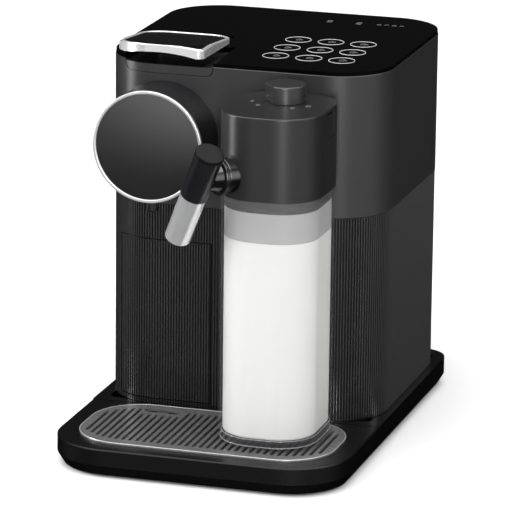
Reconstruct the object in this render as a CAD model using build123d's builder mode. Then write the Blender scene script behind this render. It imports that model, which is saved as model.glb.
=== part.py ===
"""Pod coffee machine with a docked milk jug, as separate pieces.

Millimetres. X points to the right, Y to the back and Z up. The origin is on the surface that the
machine stands on, under the middle of its bounding box.
"""
import os
from math import cos, radians, sin, sqrt

from build123d import *

os.makedirs("parts", exist_ok=True)

# ---- Driving dimensions ----------------------------------------------------------------------
overall_width = 203.0
overall_depth = 367.0
base_depth = 300.0
base_height = 20.0
base_front_radius = 42.0
base_rear_radius = 20.0
foot_height = 1.5
bevel_height = 6.7
bevel_angle = 31.0

body_setback = 109.0
body_width = 194.0
body_depth = 186.0
body_radius = 38.0
hood_bottom = 161.5
hood_top = 258.0
panel_thickness = 2.7
hood_wall = 3.0
shell_wall = 2.5
shell_inset = 1.0

seam = 0.3
slide_gap = 0.5
running_fit = 0.05

tray_wall = 3.0
tray_rim = 12.5
tray_floor = 2.5
grid_thickness = 2.3
grid_radius = 35.0
slot_pitch = 4.9
slot_width = 2.4
slot_margin = 9.0
slot_rows = 34

jug_x = 41.0
jug_width = 69.0
jug_depth = 82.5
jug_radius = 28.5
jug_bottom = 23.0
jug_split = 190.0
jug_top = 246.0
jug_wall = 2.6
jug_floor = 3.4
lid_wall = 2.5
lid_skirt = 9.0

head_x = -51.5
head_z = 209.0
head_radius = 38.1
head_length = 37.5
disc_thickness = 2.0
disc_ring_width = 2.3

well_x = -49.7
well_width = 63.6
well_depth = 52.0
well_drop = 6.5
notch_radius = 5.0
lever_width = 64.0
lever_length = 74.0
lever_x = -57.2
lever_lip_rise = 11.8
lever_lip_height = 7.6

tank_width = 124.0
tank_depth = 70.0
tank_height = 160.0
tank_wall = 2.5
tank_radius = 26.0

# ---- Planes and places worked out from them ---------------------------------------------------
base_front = -overall_depth / 2
base_rear = base_front + base_depth
tank_rear = overall_depth / 2
half_base = overall_width / 2
plate_top = foot_height + bevel_height
body_front = base_front + body_setback
body_rear = body_front + body_depth
half_body = body_width / 2
half_shell = half_body - shell_inset
shell_front = body_front + shell_inset
shell_rear = body_rear - shell_inset
shell_radius = body_radius - shell_inset
panel_top = hood_top + panel_thickness
shell_top = hood_bottom - seam
tray_rear = body_front - 2.0
well_floor = hood_top - well_drop
notch_top = hood_top + 20.0
lever_lip_top = hood_top + lever_lip_rise
lever_lip_bottom = lever_lip_top - lever_lip_height


def footprint(half_width, front, rear, front_radius, rear_radius, centre=0.0):
    """A rectangle with its own front and rear corner radii."""
    with BuildSketch(mode=Mode.PRIVATE) as outline:
        with Locations((centre, (front + rear) / 2)):
            Rectangle(2 * half_width, rear - front)
        if front_radius > 0:
            fillet(outline.vertices().group_by(Axis.Y)[0], front_radius)
        if rear_radius > 0:
            fillet(outline.vertices().group_by(Axis.Y)[-1], rear_radius)
    return outline.sketch


def base_outline():
    return footprint(half_base, base_front, base_rear, base_front_radius, base_rear_radius)


def hood_outline(inset):
    return footprint(half_body - inset, body_front + inset, body_rear - inset,
                     body_radius - inset, body_radius - inset)


def shell_outline(inset):
    return footprint(half_shell - inset, shell_front + inset, shell_rear - inset,
                     shell_radius - inset, shell_radius - inset)


def finish(builder, name):
    """Label a finished piece and write its STEP file."""
    builder.part.label = name
    export_step(builder.part, f"parts/{name}.step")


# ---- Base plate: bevelled floor, rear plinth and the shelf that carries the tank ---------------
tank_front = tank_rear - tank_depth
shelf_half = tank_width / 2 + 4.0
shelf_top = base_height
plinth_wall = 8.5
foot_radius = 8.0
foot_recess = 2.0
small_foot_radius = 5.0
foot_spots = [(-78.0, base_front + 36.0), (78.0, base_front + 36.0)]
foot_spots += [(-82.0, base_rear - 20.0), (82.0, base_rear - 20.0)]
small_foot_spots = [(-shelf_half + 14.0, tank_rear - 9.0), (shelf_half - 14.0, tank_rear - 9.0)]
screw_spots = [(-60.0, -20.0), (60.0, -20.0), (-60.0, 70.0), (60.0, 70.0)]
screw_head_radius = 3.5
screw_shank_radius = 1.5
valve_y = tank_front + 22.0
valve_radius = 7.0
coupling_radius = 13.0
coupling_recess = 2.0
elbow_radius = 5.0
hose_radius = 3.5
frame_floor = plate_top - 4.0
frame_thickness = 3.0
frame_top = frame_floor + frame_thickness
flow_height = 12.0
pipe_z = frame_top + flow_height / 2
inlet_x = -shelf_half - 8.0
inlet_z = (plate_top + base_height) / 2 - 1.0
inlet_radius = 4.5

with BuildPart() as base_plate:
    with BuildSketch(Plane.XY.offset(plate_top)):
        add(base_outline())
    extrude(amount=-bevel_height, taper=bevel_angle)
    with BuildSketch(Plane.XY.offset(plate_top)):
        add(footprint(half_base, tray_rear + slide_gap, base_rear, 0, base_rear_radius))
    extrude(amount=base_height - plate_top)
    with BuildSketch(Plane.XY.offset(plate_top - 4.0)):
        add(footprint(half_base - plinth_wall, tray_rear + plinth_wall, base_rear - plinth_wall, 6.0, 12.0))
    extrude(amount=base_height, mode=Mode.SUBTRACT)
    with BuildSketch(Plane.XY.offset(foot_height)):
        add(footprint(shelf_half, base_rear - plinth_wall, tank_rear, 0, tank_radius))
    extrude(amount=shelf_top - foot_height)
    with BuildSketch(Plane.XY.offset(foot_height)):
        add(footprint(shelf_half - 8.0, base_rear + 6.0, tank_rear - 20.0, 4.0, 4.0))
    extrude(amount=shelf_top - foot_height - 4.0, mode=Mode.SUBTRACT)
    with BuildSketch(Plane.XY.offset(foot_height)):
        with Locations(*foot_spots):
            Circle(foot_radius + running_fit)
        with Locations(*small_foot_spots):
            Circle(small_foot_radius + running_fit)
    extrude(amount=foot_recess, mode=Mode.SUBTRACT)
    with BuildSketch(Plane.XY.offset(foot_height)):
        with Locations(*screw_spots):
            Circle(screw_head_radius + seam)
    extrude(amount=1.2, mode=Mode.SUBTRACT)
    with BuildSketch(Plane.XY.offset(foot_height)):
        with Locations(*screw_spots):
            Circle(screw_shank_radius + running_fit)
    extrude(amount=plate_top, mode=Mode.SUBTRACT)
    with BuildSketch(Plane.XY.offset(shelf_top)):
        with Locations((0, valve_y)):
            Circle(coupling_radius + running_fit)
    extrude(amount=-coupling_recess, mode=Mode.SUBTRACT)
    with BuildSketch(Plane.XY.offset(shelf_top)):
        with Locations((0, valve_y)):
            Circle(elbow_radius + running_fit)
    extrude(amount=-plate_top, mode=Mode.SUBTRACT)
    with BuildSketch(Plane.XZ.offset(-base_rear + plinth_wall + 2.0)):
        with Locations((0, pipe_z)):
            Circle(hose_radius + running_fit)
    extrude(amount=-(valve_y - base_rear + plinth_wall), mode=Mode.SUBTRACT)
    with BuildSketch(Plane.XZ.offset(-base_rear + plinth_wall + 2.0)):
        with Locations((inlet_x, inlet_z)):
            Circle(inlet_radius + running_fit)
    extrude(amount=-(plinth_wall + 4.0), mode=Mode.SUBTRACT)
finish(base_plate, "base_plate")

with BuildPart() as rubber_feet:
    with BuildSketch(Plane.XY):
        with Locations(*foot_spots):
            Circle(foot_radius)
        with Locations(*small_foot_spots):
            Circle(small_foot_radius)
    extrude(amount=foot_height + foot_recess)
finish(rubber_feet, "rubber_feet")

with BuildPart() as base_screws:
    with BuildSketch(Plane.XY.offset(foot_height)):
        with Locations(*screw_spots):
            Circle(screw_head_radius)
    extrude(amount=1.2)
    with BuildSketch(Plane.XY.offset(foot_height)):
        with Locations(*screw_spots):
            Circle(screw_shank_radius)
    extrude(amount=frame_top - foot_height)
finish(base_screws, "base_screws")

# ---- Drip tray, its slotted grid and the float that shows when it is full ----------------------
tray_bottom = plate_top + seam
grid_bottom = base_height - 1.0
grid_top = grid_bottom + grid_thickness
grid_half = half_base - tray_rim - slide_gap
grid_front = base_front + tray_rim + slide_gap
grid_rear = tray_rear - 4.0
grid_ledge = 3.5
float_x = head_x + 6.0
float_y = grid_rear - 12.0
float_radius = 4.0
window_length = 26.0

with BuildPart() as drip_tray:
    with BuildSketch(Plane.XY.offset(tray_bottom)):
        add(footprint(half_base, base_front, tray_rear, base_front_radius, 0))
    extrude(amount=base_height - tray_bottom)
    with BuildSketch(Plane.XY.offset(tray_bottom + tray_floor)):
        add(footprint(half_base - tray_wall, base_front + tray_wall, tray_rear - tray_wall,
                      base_front_radius - tray_wall, 6.0))
    extrude(amount=base_height - 3.0 - tray_bottom - tray_floor, mode=Mode.SUBTRACT)
    with BuildSketch(Plane.XY.offset(base_height - 4.0)):
        add(footprint(grid_half - grid_ledge, grid_front + grid_ledge, grid_rear - grid_ledge,
                      grid_radius - grid_ledge, grid_radius - grid_ledge))
    extrude(amount=6.0, mode=Mode.SUBTRACT)
    with BuildSketch(Plane.XY.offset(grid_bottom)):
        add(footprint(grid_half + slide_gap, grid_front - slide_gap, grid_rear + slide_gap,
                      grid_radius + slide_gap, grid_radius + slide_gap))
    extrude(amount=6.0, mode=Mode.SUBTRACT)
    top_rim = drip_tray.faces().filter_by(Axis.Z).sort_by(Axis.Z)[-1]
    chamfer(top_rim.outer_wire().edges(), 0.8)
finish(drip_tray, "drip_tray")


def slot_ends(x, half, front, rear, radius):
    """Front and rear limits of a rounded rectangle at the place x."""
    past = max(abs(x) - (half - radius), 0.0)
    rise = radius - sqrt(max(radius ** 2 - past ** 2, 0.0))
    return front + rise, rear - rise


with BuildPart() as drip_grid:
    with BuildSketch(Plane.XY.offset(grid_bottom)):
        add(footprint(grid_half, grid_front, grid_rear, grid_radius, grid_radius))
    extrude(amount=grid_thickness)
    fillet(drip_grid.faces().sort_by(Axis.Z)[-1].edges(), 0.7)
    with BuildSketch(Plane.XY.offset(grid_bottom)):
        for index in range(slot_rows):
            slot_x = (index - (slot_rows - 1) / 2) * slot_pitch
            low, high = slot_ends(slot_x, grid_half, grid_front, grid_rear, grid_radius)
            if abs(slot_x - float_x) < window_length / 2 + slot_width:
                high = float_y - float_radius - 4.0 + slot_margin
            with Locations((slot_x, (low + high) / 2)):
                SlotOverall(high - low - 2 * slot_margin, slot_width, rotation=90)
        with Locations((float_x, float_y)):
            SlotOverall(window_length, 2 * (float_radius + slide_gap))
    extrude(amount=grid_thickness, mode=Mode.SUBTRACT)
finish(drip_grid, "drip_grid")

with BuildPart() as tray_float:
    with BuildSketch(Plane.XY.offset(tray_bottom + tray_floor)):
        with Locations((float_x, float_y)):
            Circle(float_radius)
            Circle(float_radius - 1.2, mode=Mode.SUBTRACT)
    extrude(amount=grid_top - 0.6 - tray_bottom - tray_floor)
    with BuildSketch(Plane.XY.offset(grid_top - 1.8)):
        with Locations((float_x, float_y)):
            Circle(float_radius)
    extrude(amount=1.2)
finish(tray_float, "tray_float")

# ---- Lower shell, with the used-capsule bin in its front ---------------------------------------
bin_half = 33.0
bin_x = head_x
bin_bottom = 24.0
bin_top = 136.0
bin_depth = 92.0
bin_wall = 2.0
cover_half = 54.0
cover_bottom = 30.0
cover_top = 150.0
port_x = jug_x
port_z = 205.0

with BuildPart() as lower_shell:
    with BuildSketch(Plane.XY.offset(base_height)):
        add(shell_outline(0.0))
        add(shell_outline(shell_wall), mode=Mode.SUBTRACT)
    extrude(amount=shell_top - base_height)
    with BuildSketch(Plane.XZ.offset(-shell_front - shell_radius)):
        with Locations((bin_x, (bin_bottom + bin_top) / 2)):
            Rectangle(2 * (bin_half + slide_gap), bin_top - bin_bottom + 2 * slide_gap)
    extrude(amount=shell_radius + 10.0, mode=Mode.SUBTRACT)
    with BuildSketch(Plane.XZ.offset(-shell_rear - 10.0)):
        with Locations((0, (cover_bottom + cover_top) / 2)):
            Rectangle(2 * (cover_half + seam), cover_top - cover_bottom + 2 * seam)
    extrude(amount=20.0, mode=Mode.SUBTRACT)
finish(lower_shell, "lower_shell")

with BuildPart() as rear_cover:
    with BuildSketch(Plane.XZ.offset(-shell_rear)):
        with Locations((0, (cover_bottom + cover_top) / 2)):
            RectangleRounded(2 * cover_half, cover_top - cover_bottom, 3.0)
        with Locations((0, cover_top - 24.0)):
            with GridLocations(8.0, 1.0, 11, 1):
                SlotOverall(26.0, 3.0, rotation=90, mode=Mode.SUBTRACT)
    extrude(amount=shell_wall)
finish(rear_cover, "rear_cover")


def bin_outline(inset, front_inset):
    """The bin's plan: a box whose front follows the shell's outer face and rounded corner."""
    with BuildSketch(mode=Mode.PRIVATE) as plan:
        with Locations((bin_x, shell_front + bin_depth / 2)):
            Rectangle(2 * (bin_half - inset), bin_depth - 2 * inset)
        with Locations((bin_x, shell_front + inset)):
            Rectangle(2 * (bin_half - inset), 2 * inset + 1.0)
        add(shell_outline(front_inset), mode=Mode.INTERSECT)
    return plan.sketch


with BuildPart() as capsule_bin:
    with BuildSketch(Plane.XY.offset(bin_bottom)):
        add(bin_outline(0.0, 0.0))
    extrude(amount=bin_top - bin_bottom)
    with BuildSketch(Plane.XY.offset(bin_bottom + bin_wall)):
        add(bin_outline(bin_wall, shell_wall))
    extrude(amount=bin_top - bin_bottom, mode=Mode.SUBTRACT)
finish(capsule_bin, "capsule_bin")

rack_height = 8.0
rack_gap = 0.4
rack_rim = 1.5
rack_mid_y = shell_front + bin_depth / 2
with BuildPart() as capsule_rack:
    with BuildSketch(Plane.XY.offset(bin_bottom + bin_wall)):
        add(bin_outline(bin_wall + rack_gap, shell_wall + rack_gap))
        add(bin_outline(bin_wall + rack_gap + rack_rim, shell_wall + rack_gap + rack_rim),
            mode=Mode.SUBTRACT)
    extrude(amount=rack_height)
    with BuildSketch(Plane.XY.offset(bin_bottom + bin_wall + rack_height - 2.0)):
        add(bin_outline(bin_wall + rack_gap, shell_wall + rack_gap))
        with Locations((bin_x + 4.0, rack_mid_y + 4.0)):
            with GridLocations(6.5, 24.0, 7, 3):
                SlotOverall(18.0, 3.5, rotation=90, mode=Mode.SUBTRACT)
    extrude(amount=2.0)
finish(capsule_rack, "capsule_rack")

# ---- Hood, top panel and the insert that lines the well under the lever ------------------------
well_left = well_x - well_width / 2
well_right = well_x + well_width / 2
well_rear = body_front + well_depth
lip_height = 6.0
head_spigot_radius = 29.0
port_flange_radius = 10.0
pin_radius = 2.0
pin_y = body_front + lever_length + 8.0
pin_z = hood_top - 1.5
lug_thickness = 4.0
lug_radius = 3.6
lug_reach = 17.0
lug_offset = lever_width / 2 - 7.0
notch_depth = 15.0

with BuildPart() as hood:
    with BuildSketch(Plane.XY.offset(hood_bottom)):
        add(hood_outline(0.0))
        add(hood_outline(hood_wall), mode=Mode.SUBTRACT)
    extrude(amount=hood_top - hood_bottom)
    with BuildSketch(Plane.XY.offset(hood_bottom)):
        add(hood_outline(0.0))
        add(shell_outline(shell_wall + seam + 2.0), mode=Mode.SUBTRACT)
    extrude(amount=hood_wall)
    with BuildSketch(Plane.XY.offset(hood_bottom)):
        add(shell_outline(shell_wall + seam))
        add(shell_outline(shell_wall + seam + 2.0), mode=Mode.SUBTRACT)
    extrude(amount=-lip_height)
    chamfer(hood.edges().filter_by(Axis.Z, reverse=True).group_by(Axis.Z)[-1], 0.4)
    with BuildSketch(Plane.XZ.offset(-body_front - 10.0)):
        with Locations((head_x, head_z)):
            Circle(head_spigot_radius + seam)
        with Locations((port_x, port_z)):
            Circle(port_flange_radius + seam)
    extrude(amount=20.0, mode=Mode.SUBTRACT)
    with BuildSketch(Plane.XZ.offset(-body_front - notch_depth)):
        with Locations((well_x, (well_floor - seam + notch_top) / 2)):
            RectangleRounded(well_width + 2 * seam, notch_top - well_floor + seam, notch_radius + seam)
    extrude(amount=notch_depth + 10.0, mode=Mode.SUBTRACT)
finish(hood, "hood")

with BuildPart() as top_panel:
    with BuildSketch(Plane.XY.offset(hood_top)):
        add(hood_outline(0.4))
        with Locations((well_x, (body_front + well_rear) / 2)):
            Rectangle(well_width, well_rear - body_front, mode=Mode.SUBTRACT)
        for side in (-1, 1):
            with Locations((lever_x + side * lug_offset, pin_y - 6.75)):
                Rectangle(lug_thickness + 1.2, 24.5, mode=Mode.SUBTRACT)
    extrude(amount=panel_thickness)
    for side in (-1, 1):
        boss_x = lever_x + side * (lug_offset - lug_thickness - 2.5)
        with BuildSketch(Plane.YZ.offset(boss_x - 2.5)):
            with Locations((pin_y, (hood_top + pin_z - 4.0) / 2)):
                Rectangle(9.0, hood_top - pin_z + 4.0)
        extrude(amount=5.0)
    with BuildSketch(Plane.YZ.offset(lever_x - lever_width / 2)):
        with Locations((pin_y, pin_z)):
            Circle(pin_radius)
    extrude(amount=lever_width, mode=Mode.SUBTRACT)
finish(top_panel, "top_panel")

with BuildPart() as lever_pin:
    with BuildSketch(Plane.YZ.offset(lever_x - lug_offset - lug_thickness)):
        with Locations((pin_y, pin_z)):
            Circle(pin_radius)
    extrude(amount=2 * (lug_offset + lug_thickness))
finish(lever_pin, "lever_pin")

insert_wall = 2.0
slot_half_x = 21.0
slot_half_y = 18.0
chute_y = well_rear - 23.0
chute_x = head_x


def insert_outline(inset):
    """The insert's plan: the well's rectangle, cut to the hood's rounded corner."""
    with BuildSketch(mode=Mode.PRIVATE) as plan:
        with Locations((well_x, (body_front + well_rear - seam) / 2)):
            Rectangle(well_width - 2 * seam - 2 * inset, well_rear - seam - body_front - 2 * inset)
        add(hood_outline(inset), mode=Mode.INTERSECT)
    return plan.sketch


with BuildPart() as front_insert:
    with BuildSketch(Plane.XY.offset(well_floor)):
        add(insert_outline(0.0))
    extrude(amount=hood_top - 1.0 - well_floor)
    with BuildSketch(Plane.XY.offset(well_floor + insert_wall)):
        add(insert_outline(insert_wall))
    extrude(amount=hood_top, mode=Mode.SUBTRACT)
    with BuildSketch(Plane.XY.offset(well_floor)):
        with Locations((chute_x, chute_y)):
            RectangleRounded(2 * slot_half_x, 2 * slot_half_y, 4.0)
    extrude(amount=insert_wall, mode=Mode.SUBTRACT)
    with BuildSketch(Plane.XZ.offset(-well_rear)):
        with Locations((well_x, (well_floor + notch_top) / 2)):
            RectangleRounded(well_width - 2 * seam, notch_top - well_floor, notch_radius)
    extrude(amount=well_depth + 10.0, mode=Mode.INTERSECT)
finish(front_insert, "front_insert")

# ---- Capsule lever: tilted paddle, bright trim round its edge and a black inlay ----------------
lever_left = lever_x - lever_width / 2
lever_front = body_front + 1.5
lever_back = lever_front + lever_length
lever_rise = 0.4
lever_back_thickness = 2.0
lever_setback = 0.8
lever_rear_radius = 18.0
trim_width = 2.6
lip_depth = 11.0
arch_radius = 118.0
crown_radius = 230.0


def lever_outline(inset):
    """The paddle's plan, held inside the hood's rounded front corner."""
    with BuildSketch(mode=Mode.PRIVATE) as plan:
        add(footprint(lever_width / 2 - inset, lever_front + inset, lever_back - inset,
                      5.0 - inset / 2, lever_rear_radius - inset, centre=lever_x))
        add(hood_outline(lever_setback + inset), mode=Mode.INTERSECT)
    return plan.sketch


def lever_slab(outline, lower):
    """The part of a vertical prism that lies between the paddle's sloped faces."""
    back_low = panel_top + lever_rise
    with BuildPart(mode=Mode.PRIVATE) as slab:
        with BuildSketch(Plane.XY.offset(hood_top)):
            add(outline)
        extrude(amount=20.0)
        with BuildSketch(Plane.YZ.offset(lever_left - 5.0)):
            with BuildLine():
                Polyline(
                    (lever_front - 1.0, lever_lip_bottom + lower),
                    (lever_front + lip_depth, lever_lip_bottom + lower),
                    (lever_back + 1.0, back_low + lower),
                    (lever_back + 1.0, back_low + lever_back_thickness),
                    (lever_front - 1.0, lever_lip_top),
                    close=True,
                )
            make_face()
        extrude(amount=lever_width + 10.0, mode=Mode.INTERSECT)
        with BuildSketch(Plane.XZ.offset(-lever_front + 5.0)):
            with Locations((lever_x, lever_lip_top - crown_radius)):
                Circle(crown_radius)
        extrude(amount=-(lever_length + 10.0), mode=Mode.INTERSECT)
    return slab.part


inlay_depth = 1.2
with BuildPart() as capsule_lever:
    add(lever_slab(lever_outline(trim_width), 0.0))
    with BuildSketch(Plane.XZ.offset(-lever_front + 5.0)):
        with Locations((lever_x, lever_lip_bottom + 3.0 - arch_radius)):
            Circle(arch_radius)
    extrude(amount=-(lip_depth + 8.0), mode=Mode.SUBTRACT)
    for side in (-1, 1):
        with BuildSketch(Plane.YZ.offset(lever_x + side * lug_offset - lug_thickness / 2)):
            with BuildLine():
                Polyline(
                    (pin_y - 20.0, panel_top + 1.0),
                    (pin_y - lug_reach, panel_top + 1.0),
                    (pin_y - lug_reach, panel_top + 0.2),
                    (pin_y, pin_z + lug_radius),
                    (pin_y, pin_z - lug_radius),
                    (pin_y - 8.0, pin_z),
                    close=True,
                )
            make_face()
            with Locations((pin_y, pin_z)):
                Circle(lug_radius)
        extrude(amount=lug_thickness)
    with BuildSketch(Plane.YZ.offset(lever_left)):
        with Locations((pin_y, pin_z)):
            Circle(pin_radius + running_fit)
    extrude(amount=lever_width, mode=Mode.SUBTRACT)
finish(capsule_lever, "capsule_lever")

with BuildPart() as lever_trim:
    add(lever_slab(lever_outline(0.0), 0.0))
    with BuildSketch(Plane.XY.offset(hood_top)):
        add(lever_outline(trim_width))
    extrude(amount=20.0, mode=Mode.SUBTRACT)
    with BuildSketch(Plane.XZ.offset(-lever_front + 5.0)):
        with Locations((lever_x, lever_lip_bottom + 3.0 - arch_radius)):
            Circle(arch_radius)
    extrude(amount=-(lip_depth + 8.0), mode=Mode.SUBTRACT)
finish(lever_trim, "lever_trim")

# ---- Coffee head: drum, satin disc in a bright ring, and the outlet under it --------------------
disc_front = body_front - head_length
drum_radius = head_radius - 0.6
drum_wall = 2.5
outlet_radius = 4.6
outlet_y = disc_front + 12.0
outlet_bottom = head_z - head_radius - 8.0

with BuildPart() as coffee_head:
    with BuildSketch(Plane.XZ.offset(-body_front)):
        with Locations((head_x, head_z)):
            Circle(drum_radius)
    extrude(amount=head_length - disc_thickness)
    with BuildSketch(Plane.XZ.offset(-body_front + drum_wall)):
        with Locations((head_x, head_z)):
            Circle(drum_radius - drum_wall)
    extrude(amount=head_length, mode=Mode.SUBTRACT)
    with BuildSketch(Plane.XZ.offset(-body_front)):
        with Locations((head_x, head_z)):
            Circle(head_spigot_radius)
    extrude(amount=-hood_wall - 1.5)
    with BuildSketch(Plane.XZ.offset(-body_front + drum_wall)):
        with Locations((head_x, head_z)):
            Circle(12.0)
    extrude(amount=-20.0, mode=Mode.SUBTRACT)
    with BuildSketch(Plane.XY.offset(head_z - drum_radius - 2.0)):
        with Locations((head_x, outlet_y)):
            Circle(outlet_radius + running_fit)
    extrude(amount=20.0, mode=Mode.SUBTRACT)
finish(coffee_head, "coffee_head")

disc_radius = head_radius - disc_ring_width
dome_height = 1.4
dome_rise = 0.6
dome_radius = (disc_radius ** 2 / dome_height + dome_height) / 2
with BuildPart() as disc_face:
    with BuildSketch(Plane.XZ.offset(-disc_front - disc_thickness)):
        with Locations((head_x, head_z)):
            Circle(disc_radius)
    extrude(amount=disc_thickness + dome_rise)
    with Locations((head_x, disc_front - dome_rise + dome_radius, head_z)):
        Sphere(dome_radius, mode=Mode.INTERSECT)
finish(disc_face, "disc_face")

with BuildPart() as disc_ring:
    with BuildSketch(Plane.XZ.offset(-disc_front - disc_thickness)):
        with Locations((head_x, head_z)):
            Circle(head_radius)
            Circle(disc_radius, mode=Mode.SUBTRACT)
    extrude(amount=disc_thickness)
    fillet(disc_ring.edges().filter_by(GeomType.CIRCLE).group_by(Axis.Y)[0], 0.7)
finish(disc_ring, "disc_ring")

with BuildPart() as coffee_outlet:
    with BuildSketch(Plane.XY.offset(outlet_bottom)):
        with Locations((head_x, outlet_y)):
            Circle(outlet_radius)
            with Locations((-2.0, 0), (2.0, 0)):
                Circle(1.3, mode=Mode.SUBTRACT)
    extrude(amount=head_z - 14.0 - outlet_bottom)
    outlet_rims = coffee_outlet.edges().filter_by(GeomType.CIRCLE).group_by(Axis.Z)[0]
    fillet(outlet_rims.sort_by(SortBy.LENGTH)[-1], 1.2)
finish(coffee_outlet, "coffee_outlet")

# ---- Brewing unit: chute, cage that holds the capsule, and the piston that closes on it ---------
wall_x = bin_x + bin_half + 2.0
brew_floor = 176.0
brew_plate = 3.0
cage_radius = 22.0
cage_front = body_front + hood_wall + 2.0
cage_depth = 8.0
piston_radius = 20.0
piston_length = 21.0
shaft_radius = 6.0
bearing_y = 8.0
bearing_depth = 4.0
piston_travel = 34.0
chute_bottom = head_z + cage_radius + 1.0
chute_wall = 2.0

with BuildPart() as capsule_chute:
    with BuildSketch(Plane.XY.offset(chute_bottom)):
        with Locations((chute_x, chute_y)):
            RectangleRounded(2 * (slot_half_x + chute_wall), 2 * (slot_half_y + chute_wall), 6.0)
            RectangleRounded(2 * slot_half_x, 2 * slot_half_y, 4.0, mode=Mode.SUBTRACT)
    extrude(amount=well_floor - chute_bottom)
finish(capsule_chute, "capsule_chute")

with BuildPart() as brew_frame:
    with BuildSketch(Plane.XY.offset(brew_floor)):
        with Locations(((head_x - 30.0 + wall_x + frame_thickness) / 2,
                        (cage_front + bearing_y + bearing_depth) / 2)):
            Rectangle(wall_x + frame_thickness - head_x + 30.0, bearing_y + bearing_depth - cage_front)
        add(hood_outline(hood_wall + 1.0), mode=Mode.INTERSECT)
        with Locations((head_x, chute_y)):
            Rectangle(38.0, 2 * slot_half_y - 6.0, mode=Mode.SUBTRACT)
    extrude(amount=brew_plate)
    with BuildSketch(Plane.XZ.offset(-bearing_y)):
        with Locations((head_x, (brew_floor + head_z + 16.0) / 2)):
            Rectangle(40.0, head_z + 16.0 - brew_floor)
        with Locations((head_x, head_z)):
            Circle(shaft_radius + running_fit, mode=Mode.SUBTRACT)
    extrude(amount=-bearing_depth)
finish(brew_frame, "brew_frame")

with BuildPart() as brew_cage:
    with BuildSketch(Plane.XZ.offset(-cage_front)):
        with Locations((head_x, head_z)):
            Circle(cage_radius)
        with Locations((head_x, (brew_floor + brew_plate + head_z) / 2)):
            Rectangle(20.0, head_z - brew_floor - brew_plate)
    extrude(amount=-cage_depth)
    with BuildSketch(Plane.XZ.offset(-cage_front - 1.6)):
        with Locations((head_x, head_z)):
            Circle(16.0)
    extrude(amount=-cage_depth, mode=Mode.SUBTRACT)
    with BuildSketch(Plane.XZ.offset(-cage_front + 1.0)):
        with Locations((head_x, head_z)):
            Circle(2.0)
    extrude(amount=-cage_depth, mode=Mode.SUBTRACT)
finish(brew_cage, "brew_cage")

with BuildPart() as brew_piston:
    with BuildSketch(Plane.XZ.offset(-(cage_front + cage_depth + 0.6))):
        with Locations((head_x, head_z)):
            Circle(piston_radius)
    extrude(amount=-piston_length)
    with BuildSketch(Plane.XZ.offset(-(cage_front + cage_depth + 0.6 + piston_length))):
        with Locations((head_x, head_z)):
            Circle(shaft_radius)
    extrude(amount=-(bearing_y + bearing_depth + 4.0 - cage_front - cage_depth - piston_length))
finish(brew_piston, "brew_piston")

# ---- Inside the body: frame, pump, heater, boards and pipes ------------------------------------
wall_front = cage_front + 4.0
deck_z = 118.0
deck_right = half_shell - shell_wall - 4.0
deck_front = -28.0
post_half = 3.0
post_spots = [(deck_right - post_half, deck_front + post_half)]
post_spots += [(deck_right - post_half, base_rear - 48.5)]
flow_radius = 13.0
pump_x = 48.0
pump_y = base_rear - 34.5
pump_box = 42.0
pump_low = 30.0
pump_high = 78.0
stub_radius = 6.0
heater_bottom = deck_z + frame_thickness
heater_height = 40.0

with BuildPart() as inner_frame:
    with BuildSketch(Plane.XY.offset(frame_floor)):
        add(footprint(half_base - plinth_wall - seam, tray_rear + plinth_wall + slide_gap,
                      base_rear - plinth_wall - seam, 6.0, 12.0))
        with Locations(*screw_spots):
            Circle(screw_shank_radius + running_fit, mode=Mode.SUBTRACT)
    extrude(amount=frame_thickness)
    with BuildSketch(Plane.XY.offset(frame_top)):
        with Locations((wall_x + frame_thickness / 2, (wall_front + pump_y + 14.0) / 2)):
            Rectangle(frame_thickness, pump_y + 14.0 - wall_front)
    extrude(amount=brew_floor - frame_top)
    with BuildSketch(Plane.XY.offset(deck_z)):
        with Locations(((wall_x + deck_right) / 2, (deck_front + pump_y + 22.0) / 2)):
            Rectangle(deck_right - wall_x, pump_y + 22.0 - deck_front)
        add(shell_outline(shell_wall + 2.0), mode=Mode.INTERSECT)
        with Locations((pump_x, pump_y)):
            Circle(hose_radius + 1.0, mode=Mode.SUBTRACT)
    extrude(amount=frame_thickness)
    with BuildSketch(Plane.XY.offset(frame_top)):
        with Locations(*post_spots):
            Rectangle(2 * post_half, 2 * post_half)
    extrude(amount=deck_z - frame_top)
finish(inner_frame, "inner_frame")

with BuildPart() as flow_meter:
    with BuildSketch(Plane.XY.offset(frame_top)):
        with Locations((0, pump_y)):
            Circle(flow_radius)
    extrude(amount=flow_height)
    with BuildSketch(Plane.XY.offset(frame_top + flow_height)):
        with Locations((0, pump_y)):
            Circle(flow_radius - 3.0)
    extrude(amount=3.0)
finish(flow_meter, "flow_meter")

with BuildPart() as pump_mounts:
    with BuildSketch(Plane.XY.offset(frame_top)):
        with Locations((pump_x, pump_y)):
            with GridLocations(pump_box - 10.0, pump_box - 10.0, 2, 2):
                Circle(4.0)
    extrude(amount=pump_low - frame_top)
finish(pump_mounts, "pump_mounts")

with BuildPart() as pump:
    with BuildSketch(Plane.XY.offset(pump_low)):
        with Locations((pump_x, pump_y)):
            RectangleRounded(pump_box, pump_box, 4.0)
    extrude(amount=pump_high - pump_low)
    with BuildSketch(Plane.XY.offset(frame_top + 1.0)):
        with Locations((pump_x, pump_y)):
            Circle(stub_radius)
    extrude(amount=pump_low - frame_top - 1.0)
    with BuildSketch(Plane.XY.offset(pump_high)):
        with Locations((pump_x, pump_y)):
            Circle(11.0)
    extrude(amount=12.0)
finish(pump, "pump")

with BuildPart() as pressure_pipe:
    with BuildSketch(Plane.XY.offset(pump_high + 12.0)):
        with Locations((pump_x, pump_y)):
            Circle(hose_radius)
            Circle(hose_radius - 1.2, mode=Mode.SUBTRACT)
    extrude(amount=heater_bottom - pump_high - 12.0)
finish(pressure_pipe, "pressure_pipe")

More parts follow.
